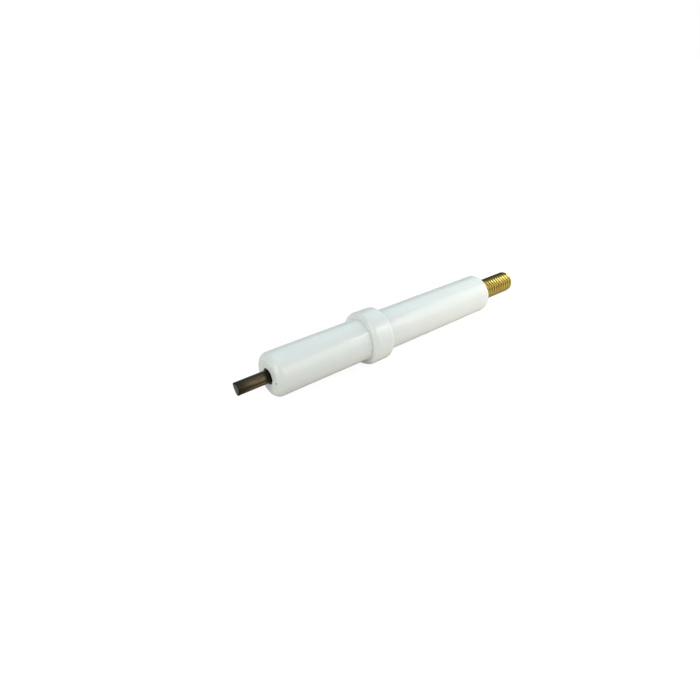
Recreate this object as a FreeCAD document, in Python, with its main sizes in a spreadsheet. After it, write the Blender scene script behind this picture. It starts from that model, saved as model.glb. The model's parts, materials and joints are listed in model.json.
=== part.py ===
"""Ignition electrode: a glazed ceramic insulator with a spark rod and a threaded terminal stud.

The axis of the electrode is X. The origin is on the axis in the plane of the collar's front
seat, the spark rod points to -X and the terminal stud points to +X. Z is up. Millimetres.
"""
import FreeCAD, Part
import os
import Sketcher

# Driving dimensions: name, value in millimetres (angles in degrees), what it is.
DIMENSIONS = [
    ("barrel_dia", 7.0, "outside of the insulator in front of and behind the collar"),
    ("front_length", 17.3, "insulator from its front face to the collar"),
    ("rear_length", 25.6, "insulator from the collar to its rear face"),
    ("collar_dia", 9.0, "outside of the collar"),
    ("collar_width", 3.9, "collar along the axis"),
    ("front_rounding", 1.1, "rounded front edge of the insulator"),
    ("rear_rounding", 1.2, "rounded rear edge of the insulator"),
    ("collar_front_rounding", 0.6, "rounded front edge of the collar"),
    ("collar_rear_rounding", 0.7, "rounded rear edge of the collar"),
    ("bore_dia", 2.5, "clearance bore for the rod"),
    ("bore_edge", 0.1, "broken edge at the mouth of the bore"),
    ("counterbore_dia", 4.4, "rear counterbore for the stud and its cement"),
    ("counterbore_depth", 12.0, "counterbore from the rear face to its shoulder"),
    ("rod_dia", 2.0, "spark rod"),
    ("rod_reach", 5.2, "rod standing out of the insulator's front face"),
    ("rod_edge", 0.12, "broken edge at the rod's spark end"),
    ("socket_depth", 6.0, "blind socket in the stud that holds the rod's rear end"),
    ("thread_dia", 3.9, "outside of the M4 thread and of the stud's shank"),
    ("thread_pitch", 0.7, "pitch of the M4 thread"),
    ("thread_depth", 0.42, "depth of the thread groove"),
    ("thread_crest", 0.09, "flat left on the thread's crest"),
    ("thread_flank", 30.0, "angle of each thread flank from square, in degrees"),
    ("stud_reach", 9.0, "stud standing out of the insulator's rear face"),
    ("stud_chamfer", 0.55, "chamfer on the stud's free end"),
    ("stud_shoulder", 0.5, "plain stud between the insulator and the thread"),
    ("key_width", 1.0, "each groove that locks the stud in the cement"),
    ("key_depth", 0.35, "depth of a locking groove"),
    ("key_inset", 2.5, "counterbore shoulder to the first locking groove"),
    ("key_spacing", 4.0, "one locking groove to the next"),
    ("cutter_overshoot", 0.05, "how far the thread form stands clear of the crest"),
    ("front_seal_recess", 2.5, "front cement below the insulator's front face"),
    ("front_seal_length", 4.0, "front cement along the axis"),
    ("rear_seal_recess", 0.4, "rear cement below the insulator's rear face"),
]
KEY_COUNT = 2

doc = FreeCAD.newDocument("ignition_electrode")


def make_sheet():
    """The spreadsheet that every sub-part takes its sizes from."""
    sheet = doc.addObject("Spreadsheet::Sheet", "Dimensions")
    for row, (name, value, meaning) in enumerate(DIMENSIONS, start=1):
        sheet.set(f"A{row}", name)
        sheet.set(f"B{row}", str(value))
        sheet.setAlias(f"B{row}", name)
        sheet.set(f"C{row}", meaning)
    doc.recompute()
    return sheet


sheet = make_sheet()

# Places along the axis, as expressions of the driving dimensions.
D = "Dimensions."
FRONT_FACE = f"-{D}front_length"
REAR_FACE = f"({D}collar_width + {D}rear_length)"
SHOULDER = f"({REAR_FACE} - {D}counterbore_depth)"
ROD_TIP = f"-({D}front_length + {D}rod_reach)"
STUD_END = f"({REAR_FACE} + {D}stud_reach)"


def make_body(label):
    """An empty body whose label is the name of the sub-part."""
    body = doc.addObject("PartDesign::Body", label)
    body.Label = label
    body.Placement = FreeCAD.Placement()
    return body


def origin_plane(body, role):
    """One of the body's own origin planes."""
    return next(f for f in body.Origin.OriginFeatures if f.Role == role)


def attached_sketch(body, name, role):
    """An empty sketch on one of the body's own origin planes."""
    sketch = body.newObject("Sketcher::SketchObject", name)
    sketch.AttachmentSupport = (origin_plane(body, role), [""])
    sketch.MapMode = "FlatFace"
    return sketch


def round_sketch(body, name, place, *diameters):
    """Circles about the axis, in the plane across it at the given place."""
    sketch = attached_sketch(body, name, "YZ_Plane")
    for number, diameter in enumerate(diameters):
        sketch.addGeometry(Part.Circle(FreeCAD.Vector(), FreeCAD.Vector(0, 0, 1), 1 + number))
        sketch.addConstraint(Sketcher.Constraint("Coincident", number, 3, -1, 1))
        datum = sketch.addConstraint(Sketcher.Constraint("Diameter", number, 2.0 + 2 * number))
        sketch.setExpression(f"Constraints[{datum}]", diameter)
    sketch.setExpression(".AttachmentOffset.Base.z", place)
    return sketch


def outline_sketch(body, name, corners):
    """A closed outline in the XZ plane; each corner is an expression along and one out."""
    sketch = attached_sketch(body, name, "XZ_Plane")
    points = [
        FreeCAD.Vector(sheet.evalExpression(along), sheet.evalExpression(out), 0)
        for along, out in corners
    ]
    count = len(points)
    for number in range(count):
        sketch.addGeometry(Part.LineSegment(points[number], points[(number + 1) % count]))
    for number in range(count):
        sketch.addConstraint(Sketcher.Constraint("Coincident", number, 2, (number + 1) % count, 1))
    for number, (along, out) in enumerate(corners):
        for kind, value, expression in (
            ("DistanceX", points[number].x, along),
            ("DistanceY", points[number].y, out),
        ):
            datum = sketch.addConstraint(Sketcher.Constraint(kind, -1, 1, number, 1, value))
            sketch.setExpression(f"Constraints[{datum}]", expression)
    return sketch


def add_pad(body, name, sketch, length):
    """Material from the sketch towards +X."""
    pad = body.newObject("PartDesign::Pad", name)
    pad.Profile = sketch
    pad.setExpression("Length", length)
    doc.recompute()
    return pad


def add_pocket(body, name, sketch, depth):
    """A hole from the sketch towards -X."""
    before = body.Shape.Volume
    pocket = body.newObject("PartDesign::Pocket", name)
    pocket.Profile = sketch
    pocket.setExpression("Length", depth)
    doc.recompute()
    require_less(body, before, name)
    return pocket


def add_turned(body, kind, name, sketch):
    """A ring of material (Revolution) or a ring cut away (Groove), about the axis."""
    turned = body.newObject(f"PartDesign::{kind}", name)
    turned.Profile = sketch
    turned.ReferenceAxis = (sketch, ["H_Axis"])
    turned.Angle = 360
    doc.recompute()
    return turned


def add_row(body, name, feature, sketch, spacing, count):
    """The same feature again and again along the axis."""
    row = body.newObject("PartDesign::LinearPattern", name)
    row.Originals = [feature]
    row.Direction = (sketch, ["H_Axis"])
    row.Mode = "Spacing"
    row.Occurrences = count
    row.setExpression("Offset", spacing)
    body.Tip = row
    doc.recompute()
    return row


def round_edges(shape, place, diameter):
    """Names of the circular edges about the axis at a place, with a diameter."""
    along = sheet.evalExpression(place)
    radius = sheet.evalExpression(diameter) / 2
    return [
        f"Edge{number}"
        for number, edge in enumerate(shape.Edges, start=1)
        if isinstance(edge.Curve, Part.Circle)
        and abs(edge.Curve.Center.x - along) < 1e-4
        and abs(edge.Curve.Radius - radius) < 1e-4
    ]


def dress_edge(body, kind, name, place, diameter, size):
    """A rounding (Fillet) or a chamfer (Chamfer) on the round edge at a place."""
    base = body.Tip
    edges = round_edges(base.Shape, place, diameter)
    if not edges:
        raise RuntimeError(f"{name}: no edge found")
    dressed = body.newObject(f"PartDesign::{kind}", name)
    dressed.Base = (base, edges)
    dressed.setExpression("Radius" if kind == "Fillet" else "Size", size)
    doc.recompute()
    return dressed


def require_less(body, before, name):
    """Stop if a cut took nothing away."""
    if body.Shape.Volume >= before - 1e-6:
        raise RuntimeError(f"{name} cut nothing")


def key_sketch(body, name):
    """Section of the first locking groove of the stud, which the cement fills."""
    start = f"({SHOULDER} + {D}key_inset)"
    floor = f"({D}thread_dia / 2 - {D}key_depth)"
    wall = f"({D}thread_dia / 2)"
    corners = [
        (start, floor),
        (f"({start} + {D}key_width)", floor),
        (f"({start} + {D}key_width)", wall),
        (start, wall),
    ]
    return outline_sketch(body, name, corners)


def make_ceramic_insulator():
    """Glazed ceramic tube with one collar, a clearance bore and a rear counterbore."""
    body = make_body("ceramic_insulator")
    barrel = round_sketch(body, "barrel_circle", FRONT_FACE, f"{D}barrel_dia")
    add_pad(body, "barrel", barrel, f"{REAR_FACE} + {D}front_length")
    collar = round_sketch(body, "collar_circle", "0", f"{D}collar_dia")
    add_pad(body, "collar", collar, f"{D}collar_width")
    bore = round_sketch(body, "bore_circle", REAR_FACE, f"{D}bore_dia")
    add_pocket(body, "bore", bore, f"{REAR_FACE} + {D}front_length")
    counterbore = round_sketch(body, "counterbore_circle", REAR_FACE, f"{D}counterbore_dia")
    add_pocket(body, "counterbore", counterbore, f"{D}counterbore_depth")
    rounded = [
        ("front_edge", FRONT_FACE, "barrel_dia", "front_rounding"),
        ("rear_edge", REAR_FACE, "barrel_dia", "rear_rounding"),
        ("collar_front_edge", "0", "collar_dia", "collar_front_rounding"),
        ("collar_rear_edge", f"{D}collar_width", "collar_dia", "collar_rear_rounding"),
        ("bore_mouth", FRONT_FACE, "bore_dia", "bore_edge"),
    ]
    for name, place, diameter, size in rounded:
        dress_edge(body, "Fillet", name, place, f"{D}{diameter}", f"{D}{size}")
    return body


def make_spark_rod():
    """Straight heat-resistant alloy wire, from the spark end to the floor of the stud's socket."""
    body = make_body("spark_rod")
    section = round_sketch(body, "rod_circle", ROD_TIP, f"{D}rod_dia")
    add_pad(body, "rod", section, f"{SHOULDER} + {D}socket_depth - {ROD_TIP}")
    dress_edge(body, "Chamfer", "spark_end", ROD_TIP, f"{D}rod_dia", f"{D}rod_edge")
    return body


def cut_thread(body):
    """Right-hand M4 thread, cut from beyond the free end up to the plain shoulder."""
    run = f"({D}stud_reach - {D}stud_shoulder)"
    middle = f"({STUD_END} + {D}thread_pitch - {run})"
    top = f"({D}thread_dia / 2 + {D}cutter_overshoot)"
    root = f"({D}thread_dia / 2 - {D}thread_depth)"
    half_top = (
        f"(({D}thread_pitch - {D}thread_crest) / 2"
        f" + {D}cutter_overshoot * tan({D}thread_flank * 1 deg))"
    )
    slope = f"({D}thread_depth + {D}cutter_overshoot) * tan({D}thread_flank * 1 deg)"
    half_root = f"({half_top} - {slope})"
    corners = [
        (f"({middle} - {half_top})", top),
        (f"({middle} - {half_root})", root),
        (f"({middle} + {half_root})", root),
        (f"({middle} + {half_top})", top),
    ]
    sketch = outline_sketch(body, "thread_section", corners)
    before = body.Shape.Volume
    thread = body.newObject("PartDesign::SubtractiveHelix", "thread")
    thread.Profile = sketch
    thread.ReferenceAxis = (sketch, ["H_Axis"])
    thread.Mode = "pitch-height-angle"
    thread.setExpression("Pitch", f"{D}thread_pitch")
    thread.setExpression("Height", run)
    thread.LeftHanded = False
    doc.recompute()
    require_less(body, before, "thread")


def make_terminal_stud():
    """Brass stud: a plain shank in the counterbore, with an M4 thread outside."""
    body = make_body("terminal_stud")
    section = round_sketch(body, "stud_circle", SHOULDER, f"{D}thread_dia")
    add_pad(body, "stud", section, f"{STUD_END} - {SHOULDER}")
    socket = round_sketch(body, "socket_circle", f"{SHOULDER} + {D}socket_depth", f"{D}rod_dia")
    add_pocket(body, "rod_socket", socket, f"{D}socket_depth")
    key = key_sketch(body, "key_section")
    before = body.Shape.Volume
    groove = add_turned(body, "Groove", "key_groove", key)
    require_less(body, before, "key_groove")
    add_row(body, "key_grooves", groove, key, f"{D}key_spacing", KEY_COUNT)
    dress_edge(body, "Chamfer", "free_end", STUD_END, f"{D}thread_dia", f"{D}stud_chamfer")
    cut_thread(body)
    return body


def make_front_cement():
    """Ring of cement that centres the rod in the bore, below the front face."""
    body = make_body("front_cement")
    place = f"({D}front_seal_recess - {D}front_length)"
    ring = round_sketch(body, "ring_circles", place, f"{D}bore_dia", f"{D}rod_dia")
    add_pad(body, "ring", ring, f"{D}front_seal_length")
    return body


def make_rear_cement():
    """Sleeve of cement that holds the stud in the counterbore and fills its grooves."""
    body = make_body("rear_cement")
    sleeve = round_sketch(body, "sleeve_circles", SHOULDER, f"{D}counterbore_dia", f"{D}thread_dia")
    add_pad(body, "sleeve", sleeve, f"{D}counterbore_depth - {D}rear_seal_recess")
    key = key_sketch(body, "key_section")
    ring = add_turned(body, "Revolution", "key_ring", key)
    add_row(body, "key_rings", ring, key, f"{D}key_spacing", KEY_COUNT)
    return body


def check_document(sub_parts):
    """Stop if any object failed or any sub-part isn't one valid solid."""
    doc.recompute()
    for thing in doc.Objects:
        if "Invalid" in thing.State or "Error" in thing.State:
            raise RuntimeError(f"{thing.Label} failed: {thing.State}")
    for body in sub_parts:
        shape = body.Shape
        if shape.isNull() or not shape.isValid() or len(shape.Solids) != 1:
            raise RuntimeError(f"{body.Label} isn't one valid solid")
        print(f"{body.Label}: {shape.Volume:.2f} mm3")


def main():
    sub_parts = [
        make_ceramic_insulator(),
        make_spark_rod(),
        make_terminal_stud(),
        make_front_cement(),
        make_rear_cement(),
    ]
    check_document(sub_parts)
    os.makedirs("parts", exist_ok=True)
    for body in sub_parts:
        body.Shape.exportStep(f"parts/{body.Label}.step")


main()
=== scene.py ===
"""Looks of the ignition electrode: glazed ceramic, oxidised spark rod, brass thread and cement.

The electrode's axis is X, its spark end points to -X and its collar's front seat is at X = 0.
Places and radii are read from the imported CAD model. The electrode's lengths are millimetres
here until its meshes are made in metres. The table and the light panels are in metres.
"""
import json
import math

import bpy
from mathutils import Matrix, Vector, noise


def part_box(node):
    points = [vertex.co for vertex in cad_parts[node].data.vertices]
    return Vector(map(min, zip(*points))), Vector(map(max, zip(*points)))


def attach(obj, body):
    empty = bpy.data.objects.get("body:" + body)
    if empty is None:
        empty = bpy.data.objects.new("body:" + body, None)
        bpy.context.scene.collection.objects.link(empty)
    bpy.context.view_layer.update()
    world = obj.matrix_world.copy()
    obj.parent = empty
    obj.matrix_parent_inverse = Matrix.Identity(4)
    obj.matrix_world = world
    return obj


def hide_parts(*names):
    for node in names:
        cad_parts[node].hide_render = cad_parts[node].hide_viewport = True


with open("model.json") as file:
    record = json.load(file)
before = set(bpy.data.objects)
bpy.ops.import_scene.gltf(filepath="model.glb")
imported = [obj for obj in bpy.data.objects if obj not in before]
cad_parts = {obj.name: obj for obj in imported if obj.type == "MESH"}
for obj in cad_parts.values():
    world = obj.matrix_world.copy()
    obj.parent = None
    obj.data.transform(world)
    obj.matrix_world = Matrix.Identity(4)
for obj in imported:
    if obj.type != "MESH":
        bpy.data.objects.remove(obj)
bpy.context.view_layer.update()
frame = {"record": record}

MM = 0.001
SEGMENTS = 192
TINY = 1e-6


# ---------------------------------------------------------------- sizes from the CAD frame

def mount(name):
    """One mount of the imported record."""
    return next(m for m in frame["record"]["mounts"] if m["name"] == name)


def reach(node):
    """Lowest X, highest X and outer radius of a round node, in millimetres."""
    low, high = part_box(node)
    return low.x / MM, high.x / MM, high.z / MM


FRONT_FACE, REAR_FACE, COLLAR_RADIUS = reach("ceramic_insulator")
ROD_TIP, ROD_REAR, ROD_RADIUS = reach("spark_rod")
SHOULDER, STUD_END, STUD_RADIUS = reach("terminal_stud")
SEAL_FRONT, SEAL_REAR, BORE_RADIUS = reach("front_cement")
SLEEVE_FRONT, SLEEVE_REAR, COUNTERBORE_RADIUS = reach("rear_cement")
BARREL_RADIUS = mount("front_barrel")["dims"]["r_mm"]
COLLAR_REAR = mount("collar_rear_seat")["pos_m"][0] / MM

# Sizes that no box gives, the same as in the CAD.
FRONT_ROUNDING = 1.1
REAR_ROUNDING = 1.2
COLLAR_FRONT_ROUNDING = 0.6
COLLAR_REAR_ROUNDING = 0.7
BORE_EDGE = 0.1
THREAD_PITCH = 0.7
THREAD_DEPTH = 0.42
THREAD_START = REAR_FACE + 0.5
STUD_CHAMFER = 0.55
KEY_STARTS = (SHOULDER + 2.5, SHOULDER + 6.5)
KEY_WIDTH = 1.0
KEY_DEPTH = 0.35

# Sides of the electrode, as turns about its axis from +Y to +Z.
RIDGE_TURN = math.radians(143)
# The rod's top side, at this turn, is painted dark as a painted dark reflection.
ROD_DARK_REFLECTION_TURN = math.radians(78)
# The stud's upper side, at this turn, is painted dark as a painted dark reflection.
STUD_DARK_REFLECTION_TURN = math.radians(68)

# The camera's direction and roll are in degrees, its lens and place in millimetres. The place
# is from the origin in the camera's own axes: to its right, up and back.
CAMERA_AZIMUTH = -38.45
CAMERA_ELEVATION = 31.58
CAMERA_LENS = 25.3
CAMERA_ROLL = 0.14
CAMERA_FROM_ORIGIN = (-1.60, -1.755, 80.65)


# ---------------------------------------------------------------- turned meshes

class Skin:
    """Points and faces of one turned piece, gathered ring by ring about the X axis."""

    def __init__(self):
        self.points = []
        self.faces = []

    def point(self, x, radius, turn):
        """Adds one point, at a share of a full turn, and returns its number."""
        angle = 2 * math.pi * turn
        self.points.append(Vector((x, radius * math.cos(angle), radius * math.sin(angle))) * MM)
        return len(self.points) - 1

    def ring(self, x, radius, shape=None):
        """One ring of points, or a single point repeated where the ring is on the axis."""
        if radius < TINY:
            return [self.point(x, 0, 0)] * SEGMENTS
        numbers = []
        for step in range(SEGMENTS):
            turn = step / SEGMENTS
            along, out = shape(x, radius, turn) if shape else (x, radius)
            numbers.append(self.point(along, out, turn))
        return numbers

    def face(self, *corners):
        """A face of the corners that differ, if at least three do."""
        distinct = list(dict.fromkeys(corners))
        if len(distinct) > 2:
            self.faces.append(distinct)

    def bridge(self, first, second):
        """Faces from one ring to the next."""
        for step in range(SEGMENTS):
            after = (step + 1) % SEGMENTS
            self.face(first[step], first[after], second[after], second[step])

    def turned(self, outline, shape=None, start=None, closed=False):
        """Rings along an outline of (x, radius), going on from a ring already made.

        The last ring of a closed outline is joined to its first.
        """
        rings = [start] if start else []
        rings += [self.ring(x, radius, shape) for x, radius in outline]
        for first, second in zip(rings, rings[1:]):
            self.bridge(first, second)
        if closed:
            self.bridge(rings[-1], rings[0])
        return rings

    def build(self, name, material):
        """The finished object, smooth shaded, with its faces pointing out."""
        mesh = bpy.data.meshes.new(name)
        mesh.from_pydata(self.points, [], self.faces)
        mesh.materials.append(material)
        mesh.polygons.foreach_set("use_smooth", [True] * len(mesh.polygons))
        mesh.update()
        piece = bpy.data.objects.new(name, mesh)
        bpy.context.scene.collection.objects.link(piece)
        return piece


def spread(start, end, step):
    """Points on a straight run, close to its ends and then no more than a step apart."""
    length = (end - start).length
    hold = min(0.02, length / 4)
    count = max(1, math.ceil((length - 2 * hold) / step))
    shares = [0, hold / length]
    shares += [(hold + (length - 2 * hold) * k / count) / length for k in range(1, count)]
    shares += [1 - hold / length, 1]
    return [start.lerp(end, share) for share in shares]


def corner_arc(before, corner, after, rounding):
    """Points of the arc that rounds one corner of an outline."""
    to_before = (before - corner).normalized()
    to_after = (after - corner).normalized()
    opening = to_before.angle(to_after)
    if rounding < TINY or abs(math.pi - opening) < 1e-4:
        return [corner]
    reach_back = rounding / math.tan(opening / 2)
    centre = corner + (to_before + to_after).normalized() * (rounding / math.sin(opening / 2))
    start = corner + to_before * reach_back - centre
    end = corner + to_after * reach_back - centre
    sweep = start.angle(end)
    steps = max(3, math.ceil(sweep / math.radians(7.5)))
    return [
        centre + (start * math.sin(sweep * (1 - k / steps)) + end * math.sin(sweep * k / steps))
        / math.sin(sweep)
        for k in range(steps + 1)
    ]


def rounded(corners, step, closed=False):
    """An outline of (x, radius) from corners of (x, radius, rounding)."""
    places = [Vector(corner[:2]) for corner in corners]
    count = len(places)
    arcs = []
    for number, corner in enumerate(corners):
        at_end = not closed and number in (0, count - 1)
        if at_end:
            arcs.append([places[number]])
        else:
            before, after = places[number - 1], places[(number + 1) % count]
            arcs.append(corner_arc(before, places[number], after, corner[2]))
    outline = []
    for number, arc in enumerate(arcs):
        outline += arc
        if closed or number < count - 1:
            following = arcs[(number + 1) % count][0]
            outline += spread(arc[-1], following, step)[1:-1]
    return [(place.x, place.y) for place in outline]


# ---------------------------------------------------------------- the pieces

def glaze_shape(x, radius, turn):
    """The fired glaze isn't quite even: it swells and dips by a hundredth of a millimetre."""
    swell_height = 0.016
    ripple_height = 0.0015
    angle = 2 * math.pi * turn
    place = Vector((x * 0.28, radius * math.cos(angle) * 0.35, radius * math.sin(angle) * 0.35))
    swell = noise.noise(place) * swell_height
    ripple = noise.noise(place * 4 + Vector((7, 3, 5))) * ripple_height
    return x, radius + (swell + ripple) * min(1, radius / BARREL_RADIUS)


def make_insulator(material):
    """Glazed tube with its collar, bore and rear counterbore, as one closed skin."""
    glaze_pool = 0.12
    corners = [
        (FRONT_FACE, BORE_RADIUS, BORE_EDGE),
        (FRONT_FACE, BARREL_RADIUS, FRONT_ROUNDING),
        (0, BARREL_RADIUS, glaze_pool),
        (0, COLLAR_RADIUS, COLLAR_FRONT_ROUNDING),
        (COLLAR_REAR, COLLAR_RADIUS, COLLAR_REAR_ROUNDING),
        (COLLAR_REAR, BARREL_RADIUS, glaze_pool),
        (REAR_FACE, BARREL_RADIUS, REAR_ROUNDING),
        (REAR_FACE, COUNTERBORE_RADIUS, BORE_EDGE),
        (SHOULDER, COUNTERBORE_RADIUS, 0),
        (SHOULDER, BORE_RADIUS, 0),
    ]
    skin = Skin()
    skin.turned(rounded(corners, step=0.5, closed=True), glaze_shape, closed=True)
    return skin.build("insulator", material)


def rod_shape(x, radius, turn):
    """Drawn wire cut by pliers: its end is a low, slightly ragged wedge."""
    draw_mark_depth = 0.006
    tear_depth = 0.025
    wedge_slope = 0.17
    wedge_reach = 0.6
    angle = 2 * math.pi * turn
    side = Vector((math.cos(angle), math.sin(angle), 0))
    draw_marks = noise.noise(side * 6 + Vector((0, 0, x * 0.12))) * draw_mark_depth
    near_end = max(0, 1 - (x - ROD_TIP) / wedge_reach)
    from_ridge = abs(math.cos(angle - RIDGE_TURN)) * radius
    tear = noise.noise(side * radius * 3 + Vector((4, 1, 9))) * tear_depth
    cut = wedge_slope * from_ridge + abs(tear)
    return x + near_end * cut, radius + draw_marks * radius / ROD_RADIUS


def make_rod(material):
    """Spark rod from its sheared end to the floor of the stud's socket."""
    corners = [
        (ROD_TIP, 0, 0),
        (ROD_TIP, ROD_RADIUS, 0.1),
        (ROD_REAR, ROD_RADIUS, 0.05),
        (ROD_REAR, 0, 0),
    ]
    skin = Skin()
    skin.turned(rounded(corners, step=0.15), rod_shape)
    return skin.build("rod", material)


def soft_min(first, second, width):
    """The smaller of two values, with a rounded change from one to the other."""
    share = max(width - abs(first - second), 0) / width
    return min(first, second) - share * share * width / 4


def thread_radius(x, turn):
    """Radius of the threaded stud: V groove, run-out at its start and chamfered end."""
    root_share = 0.16
    flank_share = 0.66
    crest_softness = 0.22
    chamfer_softness = 0.05
    run_out = 1.2 * THREAD_PITCH
    phase = ((x - THREAD_START) / THREAD_PITCH - turn) % 1
    from_root = abs(phase - 0.5) * 2
    flank = soft_min(1, max(0, (from_root - root_share) / flank_share), crest_softness)
    start = min(1, max(0, (x - THREAD_START) / run_out))
    groove = THREAD_DEPTH * (1 - flank) * start * start * (3 - 2 * start)
    chamfer = STUD_RADIUS - STUD_CHAMFER + (STUD_END - x)
    return soft_min(STUD_RADIUS - groove, chamfer, chamfer_softness)


def add_thread(skin, start_ring, end_x):
    """Threaded skin whose rows climb with the helix, from a ring to a ring at end_x."""
    rows_per_pitch = 24
    row_step = THREAD_PITCH / rows_per_pitch
    end_ring = skin.ring(end_x, STUD_RADIUS, lambda x, _, turn: (x, thread_radius(x, turn)))
    made = {}

    def corner(row, step):
        """Number of the point on a row, where a full turn climbs by one pitch."""
        if step == SEGMENTS:
            return corner(row + rows_per_pitch, 0)
        turn = step / SEGMENTS
        x = THREAD_START + (row + turn * rows_per_pitch) * row_step
        if x <= THREAD_START + TINY:
            return start_ring[step]
        if x >= end_x - TINY:
            return end_ring[step]
        if (row, step) not in made:
            made[row, step] = skin.point(x, thread_radius(x, turn), turn)
        return made[row, step]

    rows = math.ceil((end_x - THREAD_START) / row_step)
    for row in range(-rows_per_pitch, rows):
        for step in range(SEGMENTS):
            skin.face(
                corner(row, step),
                corner(row, step + 1),
                corner(row + 1, step + 1),
                corner(row + 1, step),
            )
    return end_ring


def stud_face_shape(x, radius, turn):
    """Fine turning marks on the stud's end face."""
    mark_depth = 0.003
    radians_per_mm = 55
    mark = math.sin(radius * radians_per_mm) * min(1, radius)
    return x - mark_depth * mark, radius


def locking_grooves():
    """Corners of the grooves in the stud's shank, from the front one to the rear one."""
    corners = []
    for start in KEY_STARTS:
        corners += [
            (start, STUD_RADIUS, 0),
            (start, STUD_RADIUS - KEY_DEPTH, 0),
            (start + KEY_WIDTH, STUD_RADIUS - KEY_DEPTH, 0),
            (start + KEY_WIDTH, STUD_RADIUS, 0),
        ]
    return corners


def make_stud(material):
    """Brass stud: shank with locking grooves and rod socket, then the thread and its end."""
    corners = [
        (ROD_REAR, 0, 0),
        (ROD_REAR, ROD_RADIUS, 0),
        (SHOULDER, ROD_RADIUS, 0),
        (SHOULDER, STUD_RADIUS, 0.05),
        *locking_grooves(),
        (THREAD_START, STUD_RADIUS, 0),
    ]
    skin = Skin()
    rings = skin.turned(rounded(corners, step=1.0))
    face_edge = 0.03
    end_ring = add_thread(skin, rings[-1], STUD_END - face_edge)
    end_radius = STUD_RADIUS - STUD_CHAMFER
    face_rings = 24
    face = [(STUD_END, end_radius * (1 - k / face_rings)) for k in range(1, face_rings + 1)]
    skin.turned(face, stud_face_shape, start=end_ring)
    return skin.build("stud", material)


def cement_shape(x, radius, turn):
    """Trowelled cement: its faces across the bore are uneven."""
    lump_height = 0.06
    lumps_per_mm = 2.2
    angle = 2 * math.pi * turn
    place = Vector((math.cos(angle), math.sin(angle), 0)) * radius * lumps_per_mm
    return x + noise.noise(place) * lump_height, radius


def make_front_cement(material):
    """Ring of cement round the rod, deep in the bore."""
    corners = [
        (SEAL_FRONT, ROD_RADIUS, 0.04),
        (SEAL_FRONT, BORE_RADIUS, 0.04),
        (SEAL_REAR, BORE_RADIUS, 0.04),
        (SEAL_REAR, ROD_RADIUS, 0.04),
    ]
    skin = Skin()
    skin.turned(rounded(corners, step=0.1, closed=True), cement_shape, closed=True)
    return skin.build("cement_front", material)


def make_rear_cement(material):
    """Sleeve of cement round the stud's shank, with a ring in each locking groove."""
    corners = [
        (SLEEVE_FRONT, STUD_RADIUS, 0),
        *locking_grooves(),
        (SLEEVE_REAR, STUD_RADIUS, 0),
        (SLEEVE_REAR, COUNTERBORE_RADIUS, 0),
        (SLEEVE_FRONT, COUNTERBORE_RADIUS, 0),
    ]
    skin = Skin()
    skin.turned(rounded(corners, step=0.5, closed=True), closed=True)
    return skin.build("cement_rear", material)


# ---------------------------------------------------------------- materials

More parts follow.
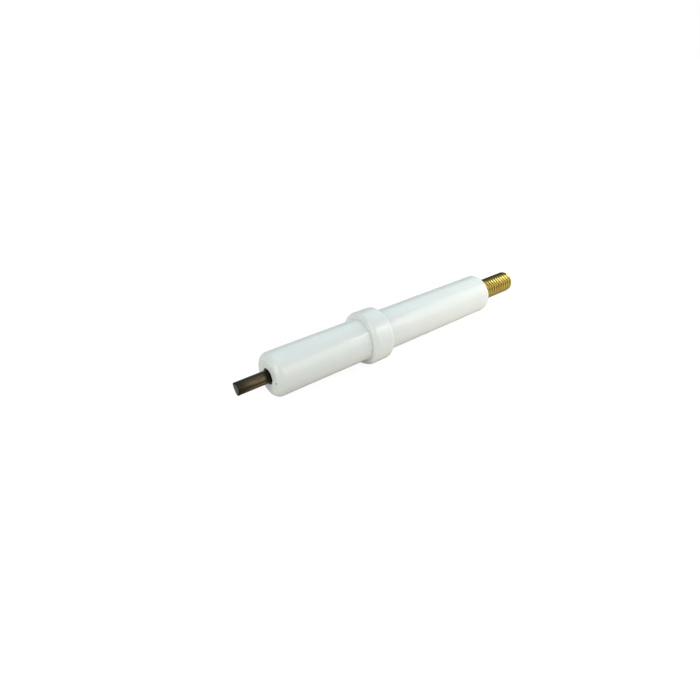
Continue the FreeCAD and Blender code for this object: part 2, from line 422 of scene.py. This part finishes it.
class Nodes:
    """Short ways to add shader nodes to one material."""

    def __init__(self, name):
        self.material = bpy.data.materials.new(name)
        self.material.use_nodes = True
        self.tree = self.material.node_tree
        self.shader = self.tree.nodes["Principled BSDF"]

    def link(self, source, target):
        """A wire from one socket to another."""
        self.tree.links.new(source, target)

    def add(self, kind, values=None, **settings):
        """A node with some of its inputs set to a value or linked to a socket."""
        made = self.tree.nodes.new(kind)
        for name, value in settings.items():
            setattr(made, name, value)
        for name, value in (values or {}).items():
            if isinstance(value, bpy.types.NodeSocket):
                self.link(value, made.inputs[name])
            else:
                made.inputs[name].default_value = value
        return made

    def here(self):
        """Object coordinates in metres."""
        return self.add("ShaderNodeTexCoord").outputs["Object"]

    def place(self, scale):
        """Object coordinates in millimetres, stretched by a scale for each axis."""
        factors = [value / MM for value in scale]
        values = {"Vector": self.here(), "Scale": factors}
        return self.add("ShaderNodeMapping", values).outputs["Vector"]

    def noise(self, where, scale, detail=3.0, roughness=0.5):
        """Noise from 0 to 1."""
        values = {"Vector": where, "Scale": scale, "Detail": detail, "Roughness": roughness}
        return self.add("ShaderNodeTexNoise", values).outputs["Fac"]

    def remap(self, value, low, high, to_low, to_high, smooth=True):
        """A value from one range to another, clamped."""
        kind = "SMOOTHSTEP" if smooth else "LINEAR"
        values = {0: value, 1: low, 2: high, 3: to_low, 4: to_high}
        return self.add("ShaderNodeMapRange", values, interpolation_type=kind).outputs[0]

    def math(self, kind, first, second):
        """Arithmetic on two values."""
        return self.add("ShaderNodeMath", {0: first, 1: second}, operation=kind).outputs[0]

    def mix(self, share, first, second):
        """A colour between two."""
        values = {0: share, 6: first, 7: second}
        return self.add("ShaderNodeMix", values, data_type="RGBA").outputs[2]

    def mix_value(self, share, first, second):
        """A number between two."""
        return self.add("ShaderNodeMix", {0: share, 2: first, 3: second}).outputs[0]

    def bump(self, height, distance, under=None):
        """A bumped normal, over another bump if there is one."""
        values = {"Height": height, "Distance": distance * MM}
        if under:
            values["Normal"] = under
        return self.add("ShaderNodeBump", values).outputs["Normal"]

    def from_axis(self):
        """Distance from the electrode's axis in millimetres."""
        parts = self.add("ShaderNodeSeparateXYZ", {0: self.here()}).outputs
        across = self.add("ShaderNodeCombineXYZ", {"Y": parts["Y"], "Z": parts["Z"]})
        values = {0: across.outputs[0]}
        length = self.add("ShaderNodeVectorMath", values, operation="LENGTH").outputs["Value"]
        return self.math("MULTIPLY", length, 1 / MM)

    def along(self):
        """Place along the electrode in millimetres."""
        parts = self.add("ShaderNodeSeparateXYZ", {0: self.here()}).outputs
        return self.math("MULTIPLY", parts["X"], 1 / MM)

    def facing(self, turn):
        """How far a place lies towards one side, turned from +Y to +Z, in millimetres."""
        values = {0: self.here(), 1: Vector((0, math.cos(turn), math.sin(turn))) / MM}
        return self.add("ShaderNodeVectorMath", values, operation="DOT_PRODUCT").outputs["Value"]

    def near(self, place, radius):
        """1 at a place on the surface, falling to 0 at a radius, in millimetres."""
        values = {0: self.here(), 1: Vector(place) * MM}
        gap = self.add("ShaderNodeVectorMath", values, operation="DISTANCE").outputs["Value"]
        return self.remap(gap, 0, radius * MM, 1, 0)

    def set(self, **sockets):
        """Shader sockets, named with _ for a space, set to a value or linked."""
        for name, value in sockets.items():
            socket = self.shader.inputs[name.replace("_", " ")]
            if isinstance(value, bpy.types.NodeSocket):
                self.link(value, socket)
            else:
                socket.default_value = value


def glaze_material():
    """White porcelain glaze: milky body, a trace of orange peel, a few pinholes; the bores are bare,
    rough and painted dark as shade.
    """
    milk = (0.745, 0.785, 0.765, 1)
    pale_milk = (0.765, 0.8, 0.78, 1)
    speck_grey = (0.16, 0.15, 0.13, 1)
    # Painted shade: the colour painted on the bore's wall, where shade falls inside the hole.
    bore_painted_shade = (0.05, 0.043, 0.036, 1)
    cells_per_mm = 0.36
    share_of_clean_cells = 0.72
    pinhole_depth = 0.55
    front_speck_place = (FRONT_FACE, -2.39, 0.02)
    front_speck_radius = 0.3
    made = Nodes("glazed_ceramic")
    where = made.place((1, 1, 1))
    mottle = made.noise(where, 0.3, detail=3, roughness=0.5)
    white = made.mix(made.remap(mottle, 0.35, 0.65, 0, 1), milk, pale_milk)
    values = {"Vector": where, "Scale": cells_per_mm, "Randomness": 1.0}
    cells = made.add("ShaderNodeTexVoronoi", values)
    pinhole = made.remap(cells.outputs["Distance"], 0.018, 0.034, 1, 0)
    rank = made.add("ShaderNodeSeparateColor", {0: cells.outputs["Color"]}).outputs[0]
    marked = made.math("GREATER_THAN", rank, share_of_clean_cells)
    pinhole = made.math("MULTIPLY", pinhole, marked)
    front_speck = made.near(front_speck_place, front_speck_radius)
    speck = made.math("MAXIMUM", made.math("MULTIPLY", pinhole, pinhole_depth), front_speck)
    glazed = made.mix(speck, white, speck_grey)
    hole = made.remap(made.along(), 0, 1, BORE_RADIUS, COUNTERBORE_RADIUS)
    into_hole = made.math("SUBTRACT", made.from_axis(), hole)
    # Mask of the bore's wall: unglazed and rough there, and painted dark as shade.
    bare_and_shade_mask = made.remap(into_hole, -0.03, 0.01, 1, 0)
    colour = made.mix(bare_and_shade_mask, glazed, bore_painted_shade)
    peel = made.noise(where, 0.8, detail=2, roughness=0.4)
    normal = made.bump(peel, 0.003)
    normal = made.bump(made.noise(where, 2.6, detail=1), 0.0025, under=normal)
    normal = made.bump(made.math("SUBTRACT", 1, speck), 0.01, under=normal)
    smear = made.noise(where, 0.8, detail=3)
    gloss = made.remap(smear, 0.3, 0.7, 0.11, 0.15)
    made.set(
        Base_Color=colour,
        Roughness=made.mix_value(bare_and_shade_mask, gloss, 0.8),
        IOR=1.52,
        Subsurface_Weight=0.12,
        Subsurface_Radius=(1.0, 0.9, 0.8),
        Subsurface_Scale=0.0006,
        Normal=normal,
    )
    return made.material


def rod_material():
    """Drawn iron-chromium-aluminium wire: streaky bronze oxide, darker towards the tip; its top side is
    a painted dark reflection, and a band by the hole is painted shade.
    """
    # Dark colour for the oxide's dark streaks and the tip, and painted shade on the top side and by the
    # hole.
    dark_tone_and_painted_shade = (0.018, 0.016, 0.01, 1)
    bare_alloy = (0.23, 0.178, 0.096, 1)
    sheared_alloy = (0.11, 0.11, 0.09, 1)
    dark_rim = (0.012, 0.012, 0.008, 1)
    made = Nodes("oxidised_alloy")
    streak = made.noise(made.place((0.2, 3.2, 3.2)), 1.0, detail=5, roughness=0.62)
    patchy = made.noise(made.place((0.5, 1.1, 1.1)), 1.0, detail=3)
    # Painted dark reflection: the rod's top side is painted dark.
    outside_painted_dark_top = made.remap(made.facing(ROD_DARK_REFLECTION_TURN), 0.78 * ROD_RADIUS, 0.95 * ROD_RADIUS, 1, 0.1)
    towards_tip = made.remap(made.along(), ROD_TIP + 0.2, ROD_TIP + 3.6, 0.08, 1)
    # Painted shade: a band of the rod next to the hole is painted dark.
    outside_hole_shade = made.remap(made.along(), FRONT_FACE - 1.1, FRONT_FACE - 0.5, 1, 0)
    # 1 where the bare alloy shows, falling to the dark colour and the painted shade.
    bare_and_shade_mask = made.math("MULTIPLY", made.math("MULTIPLY", outside_painted_dark_top, towards_tip), outside_hole_shade)
    bare_and_shade_mask = made.math("MULTIPLY", bare_and_shade_mask, made.remap(streak, 0.32, 0.66, 0.1, 1))
    base = made.mix(bare_and_shade_mask, dark_tone_and_painted_shade, bare_alloy)
    end = made.remap(made.along(), ROD_TIP + 0.16, ROD_TIP + 0.22, 1, 0)
    rim = made.remap(made.from_axis(), ROD_RADIUS - 0.3, ROD_RADIUS - 0.12, 0, 1)
    cut = made.mix(rim, sheared_alloy, dark_rim)
    colour = made.mix(end, base, cut)
    fine = made.noise(made.place((0.3, 9, 9)), 1.0, detail=4, roughness=0.6)
    normal = made.bump(fine, 0.012)
    grain = made.noise(made.place((1, 1, 1)), 9.0, detail=3)
    normal = made.bump(grain, 0.004, under=normal)
    made.set(
        Base_Color=colour,
        Metallic=0.85,
        Roughness=made.remap(patchy, 0.3, 0.7, 0.25, 0.4),
        Specular_IOR_Level=0.3,
        Normal=normal,
    )
    return made.material


def brass_material():
    """Rolled brass: bright crests, dark roots that are partly tarnish and partly painted shade, fine
    scratches, and one side painted dark as a painted dark reflection.
    """
    bright_brass = (0.54, 0.42, 0.105, 1)
    patchy_brass = (0.45, 0.35, 0.09, 1)
    # Roots painted darker: partly tarnish, partly painted shade in the grooves.
    dark_root_tarnish_and_shade = (0.2, 0.14, 0.02, 1)
    painted_dark_reflection = (0.08, 0.08, 0.038, 1)
    most_painted_dark = 0.88
    plain_roughness = 0.36
    made = Nodes("brass")
    where = made.place((1, 1, 1))
    radius = made.from_axis()
    crest = made.remap(radius, STUD_RADIUS - THREAD_DEPTH, STUD_RADIUS - 0.05, 0, 1)
    patchy = made.noise(where, 1.4, detail=4)
    tarnish = made.mix(made.remap(patchy, 0.35, 0.7, 0, 1), bright_brass, patchy_brass)
    colour = made.mix(crest, dark_root_tarnish_and_shade, tarnish)
    # Painted dark reflection: the stud's upper side is painted dark.
    side = made.facing(STUD_DARK_REFLECTION_TURN)
    painted_dark_top = made.remap(side, 0.8 * STUD_RADIUS, 0.92 * STUD_RADIUS, 0, most_painted_dark)
    colour = made.mix(painted_dark_top, colour, painted_dark_reflection)
    scratch = made.noise(made.place((7, 1.2, 1.2)), 1.0, detail=4, roughness=0.6)
    normal = made.bump(scratch, 0.006)
    plain = made.remap(made.along(), THREAD_START, THREAD_START + 0.2, 1, 0)
    rolled = made.remap(patchy, 0.3, 0.75, 0.12, 0.19)
    made.set(
        Base_Color=colour,
        Metallic=1.0,
        Roughness=made.mix_value(plain, rolled, plain_roughness),
        Normal=normal,
    )
    return made.material


def cement_material():
    """Grey-buff refractory cement, grainy and dry."""
    dark_grain = (0.1, 0.09, 0.075, 1)
    pale_grain = (0.22, 0.2, 0.17, 1)
    made = Nodes("cement")
    where = made.place((1, 1, 1))
    grain = made.noise(where, 6.0, detail=6, roughness=0.65)
    colour = made.mix(made.remap(grain, 0.35, 0.65, 0, 1), dark_grain, pale_grain)
    made.set(Base_Color=colour, Roughness=0.9, Normal=made.bump(grain, 0.05))
    return made.material


def floor_material():
    """Pale table: white as seen directly, with a painted contact shade under the collar.

    In place of the light it would throw back, it glows with painted light: dimmer, least by the collar,
    where the glow is a painted shadow, and towards the spark end.
    """
    black = (0, 0, 0, 1)
    open_light = (0.353, 0.313, 0.28, 1)
    unlit_table = (0.5, 0.48, 0.45, 1)
    unlit_table_seen = (0.14, 0.14, 0.14, 1)
    far_white = (1, 1, 1, 1)
    middle_white = (0.93, 0.93, 0.93, 1)
    contact_shade = (0.02, 0.02, 0.015, 1)
    resting_place = (0.9, 0, -COLLAR_RADIUS)
    shade_radius = 1.2
    black_radius = 4.0
    middle_radius = 400
    made = Nodes("pale_table")
    seen = made.add("ShaderNodeLightPath").outputs["Is Camera Ray"]
    # Painted shadow: the table's glow dims round the collar.
    open_table = made.remap(made.from_axis(), COLLAR_RADIUS, 1.8 * COLLAR_RADIUS, 0.3, 1)
    thrown = made.mix(open_table, black, open_light)
    # Painted shadow: the glow goes black round the resting place.
    thrown = made.mix(made.near(resting_place, black_radius), thrown, black)
    # Painted light: the glow grows stronger towards the rear.
    towards_rear = made.remap(made.along(), -50, 40, 0.35, 1.5, smooth=False)
    middle = made.near((0, 0, 0), middle_radius)
    white = made.mix(middle, far_white, middle_white)
    # Painted contact shadow on the table as seen, under the collar.
    white = made.mix(made.near(resting_place, shade_radius), white, contact_shade)
    made.set(
        Base_Color=made.mix(seen, unlit_table, unlit_table_seen),
        Roughness=0.9,
        Specular_IOR_Level=0.0,
        Emission_Color=made.mix(seen, thrown, white),
        Emission_Strength=made.mix_value(seen, towards_rear, 1.0),
    )
    return made.material


# ---------------------------------------------------------------- stage, light and camera

def make_floor():
    """Level square table that the collar rests on."""
    half = 3.0
    height = -COLLAR_RADIUS * MM
    mesh = bpy.data.meshes.new("floor")
    sides = [(-half, -half), (half, -half), (half, half), (-half, half)]
    corners = [(x, y, height) for x, y in sides]
    mesh.from_pydata(corners, [], [(0, 1, 2, 3)])
    mesh.materials.append(floor_material())
    floor = bpy.data.objects.new("floor", mesh)
    bpy.context.scene.collection.objects.link(floor)


def make_panel(name, azimuth, elevation, distance, size, radiance, colour):
    """A soft light panel that faces the origin; azimuth 0 is on the -Y side, 90 on +X."""
    turn, rise = math.radians(azimuth), math.radians(elevation)
    out = Vector((
        math.sin(turn) * math.cos(rise),
        -math.cos(turn) * math.cos(rise),
        math.sin(rise),
    ))
    light = bpy.data.lights.new(name, "AREA")
    light.shape = "RECTANGLE"
    light.size, light.size_y = size
    light.energy = radiance * math.pi * size[0] * size[1]
    light.color = colour
    panel = bpy.data.objects.new(name, light)
    panel.location = out * distance
    panel.rotation_mode = "QUATERNION"
    panel.rotation_quaternion = out.to_track_quat("Z", "Y")
    panel.visible_camera = False
    bpy.context.scene.collection.objects.link(panel)


def make_lights():
    """A near window and its sill beside the camera, a lamp, pale walls and a ceiling."""
    make_panel("window_left", 30, 31, 0.15, (0.08, 0.07), 1.9, (1.0, 1.0, 0.89))
    make_panel("window_right", 60, 31, 0.15, (0.08, 0.07), 2.08, (1.06, 1.0, 0.98))
    make_panel("sill_left", 30, 10, 0.15, (0.08, 0.04), 1.15, (1.07, 1.0, 0.91))
    make_panel("sill_right", 60, 10, 0.15, (0.08, 0.04), 1.46, (1.1, 1.0, 0.94))
    make_panel("side_lamp", 80, 12, 0.10, (0.05, 0.04), 1.9, (1.02, 1.0, 0.94))
    make_panel("left_wall", 298, 27, 0.50, (0.20, 0.52), 0.66, (1.07, 1.0, 0.97))
    make_panel("left_back_wall", 275, 25, 0.50, (0.20, 0.46), 3.7, (1.02, 1.0, 0.91))
    make_panel("back_wall", 133, 42, 0.50, (0.70, 0.32), 0.83, (0.81, 1.0, 0.96))
    make_panel("ceiling", 0, 89.9, 0.50, (0.50, 0.50), 0.75, (0.86, 1.0, 1.15))


def make_world():
    """Dim even room; seen directly it is as white as the table."""
    room_colour = (0.91, 1.0, 1.07, 1)
    room_strength = 0.274
    seen_colour = (1, 1, 1, 1)
    world = bpy.data.worlds.new("surroundings")
    world.use_nodes = True
    tree = world.node_tree
    room = tree.nodes["Background"]
    room.inputs["Color"].default_value = room_colour
    room.inputs["Strength"].default_value = room_strength
    white = tree.nodes.new("ShaderNodeBackground")
    white.inputs["Color"].default_value = seen_colour
    path = tree.nodes.new("ShaderNodeLightPath")
    choice = tree.nodes.new("ShaderNodeMixShader")
    tree.links.new(path.outputs["Is Camera Ray"], choice.inputs[0])
    tree.links.new(room.outputs[0], choice.inputs[1])
    tree.links.new(white.outputs[0], choice.inputs[2])
    tree.links.new(choice.outputs[0], tree.nodes["World Output"].inputs["Surface"])
    bpy.context.scene.world = world


def make_camera():
    """Close wide-angle camera, above the electrode and nearer to its spark end."""
    turn, drop = math.radians(CAMERA_AZIMUTH), math.radians(CAMERA_ELEVATION)
    forward = Vector((
        -math.sin(turn) * math.cos(drop),
        math.cos(turn) * math.cos(drop),
        -math.sin(drop),
    ))
    level = Vector((math.cos(turn), math.sin(turn), 0))
    right = Matrix.Rotation(math.radians(-CAMERA_ROLL), 3, forward) @ level
    up = right.cross(forward)
    sideways, rise, distance = CAMERA_FROM_ORIGIN
    camera = bpy.data.cameras.new("camera")
    camera.lens = CAMERA_LENS
    camera.clip_start = 0.001
    camera.clip_end = 20
    holder = bpy.data.objects.new("camera", camera)
    place = (right * sideways + up * rise - forward * distance) * MM
    holder.matrix_world = Matrix.Translation(place) @ Matrix((right, up, -forward)).transposed().to_4x4()
    bpy.context.scene.collection.objects.link(holder)
    bpy.context.scene.camera = holder


# ---------------------------------------------------------------- assembly

def main():
    """Stage, light and camera, then the five pieces, each in the place of its CAD node."""
    make_camera()
    make_world()
    make_lights()
    make_floor()
    cement = cement_material()
    pieces = [
        (make_insulator(glaze_material()), "ceramic_insulator", "glazed_ceramic"),
        (make_rod(rod_material()), "spark_rod", "oxidised_alloy"),
        (make_stud(brass_material()), "terminal_stud", "brass"),
        (make_front_cement(cement), "front_cement", "cement"),
        (make_rear_cement(cement), "rear_cement", "cement"),
    ]
    for piece, node, slot in pieces:
        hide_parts(node)
        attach(piece, "root")
    bpy.context.scene.view_settings.view_transform = "Standard"


main()
